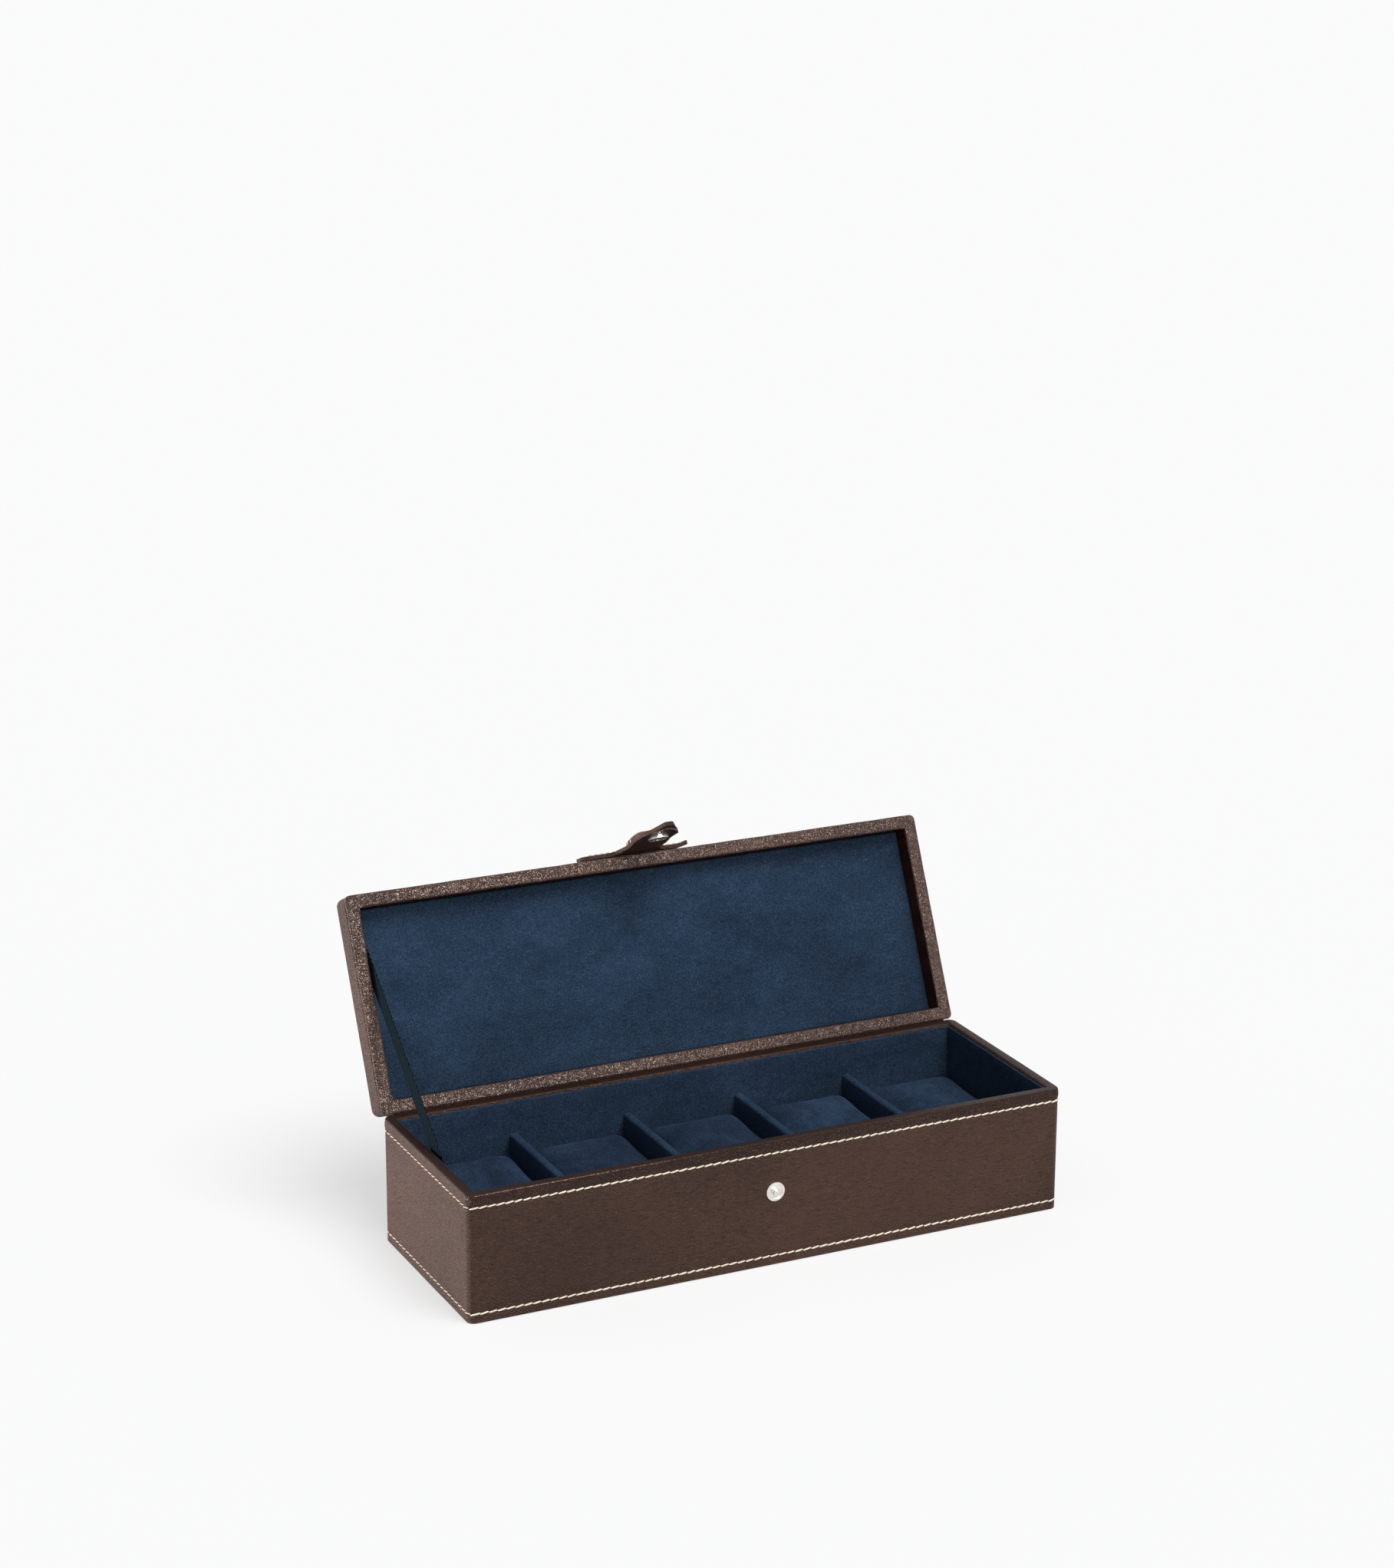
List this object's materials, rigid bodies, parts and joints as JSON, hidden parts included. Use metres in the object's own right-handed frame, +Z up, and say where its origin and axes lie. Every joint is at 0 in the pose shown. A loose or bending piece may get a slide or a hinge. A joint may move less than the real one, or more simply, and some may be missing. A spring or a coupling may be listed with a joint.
{
  "type": "watch display box",
  "caption": "Leather-covered watch display box with suede compartments, lift-out cushions, a hinged lid and a press-stud closing tab.",
  "frame": {"origin": "centre of the underside of the case", "axes": "+X along the length, -Y towards the front with the press stud, +Z up"},
  "size_m": [0.33, 0.1786, 0.1981],
  "materials": {
    "brown_leather": "pebbled, satin",
    "dark_leather": "smooth, satin",
    "navy_suede": "brushed suede",
    "ribbon": "woven twill",
    "nickel": "polished nickel",
    "board": "fibreboard"
  },
  "bodies": {
    "case": {"base_floor_board": "board", "base_front_board": "board", "base_back_board": "board", "base_left_board": "board", "base_right_board": "board", "base_leather_cover": "brown_leather", "base_bottom_leather": "dark_leather", "floor_lining": "navy_suede", "front_lining": "navy_suede", "back_lining": "navy_suede", "left_lining": "navy_suede", "right_lining": "navy_suede", "divider_1": "navy_suede", "divider_2": "navy_suede", "divider_3": "navy_suede", "divider_4": "navy_suede", "snap_stud": "nickel", "snap_stud_backing": "nickel", "hinge_leather_lower": "dark_leather", "ribbon_stay": "ribbon"},
    "lid": {"lid_top_board": "board", "lid_front_rail": "board", "lid_back_rail": "board", "lid_left_rail": "board", "lid_right_rail": "board", "lid_leather_cover": "brown_leather", "lid_rim_front": "brown_leather", "lid_rim_back": "brown_leather", "lid_rim_left": "brown_leather", "lid_rim_right": "brown_leather", "lid_lining": "navy_suede", "closure_anchor": "brown_leather", "hinge_leather_upper": "dark_leather"},
    "tab": {"closure_tab": "brown_leather", "closure_tab_cover": "brown_leather", "snap_socket": "nickel", "snap_cap": "nickel"},
    "watch_cushion_1": {"cushion_1": "navy_suede"},
    "watch_cushion_2": {"cushion_2": "navy_suede"},
    "watch_cushion_3": {"cushion_3": "navy_suede"},
    "watch_cushion_4": {"cushion_4": "navy_suede"},
    "watch_cushion_5": {"cushion_5": "navy_suede"}
  },
  "joints": [
    {"name": "lid_hinge", "type": "hinge", "parent": "case", "child": "lid", "pos_m": [0, 0.0565, 0.06715], "axis": [-1, 0, 0], "range_deg": [-115, 0], "deforming": ["ribbon_stay"]},
    {"name": "tab_hinge", "type": "hinge", "parent": "lid", "child": "tab", "pos_m": [0, 0.10631, 0.17125], "axis": [-1, 0, 0], "range_deg": [-4.5, 85]},
    {"name": "cushion_1_lift", "type": "slide", "parent": "case", "child": "watch_cushion_1", "axis": [0, 0, 1], "range_m": [0, 0.065]},
    {"name": "cushion_2_lift", "type": "slide", "parent": "case", "child": "watch_cushion_2", "axis": [0, 0, 1], "range_m": [0, 0.065]},
    {"name": "cushion_3_lift", "type": "slide", "parent": "case", "child": "watch_cushion_3", "axis": [0, 0, 1], "range_m": [0, 0.065]},
    {"name": "cushion_4_lift", "type": "slide", "parent": "case", "child": "watch_cushion_4", "axis": [0, 0, 1], "range_m": [0, 0.065]},
    {"name": "cushion_5_lift", "type": "slide", "parent": "case", "child": "watch_cushion_5", "axis": [0, 0, 1], "range_m": [0, 0.065]}
  ]
}
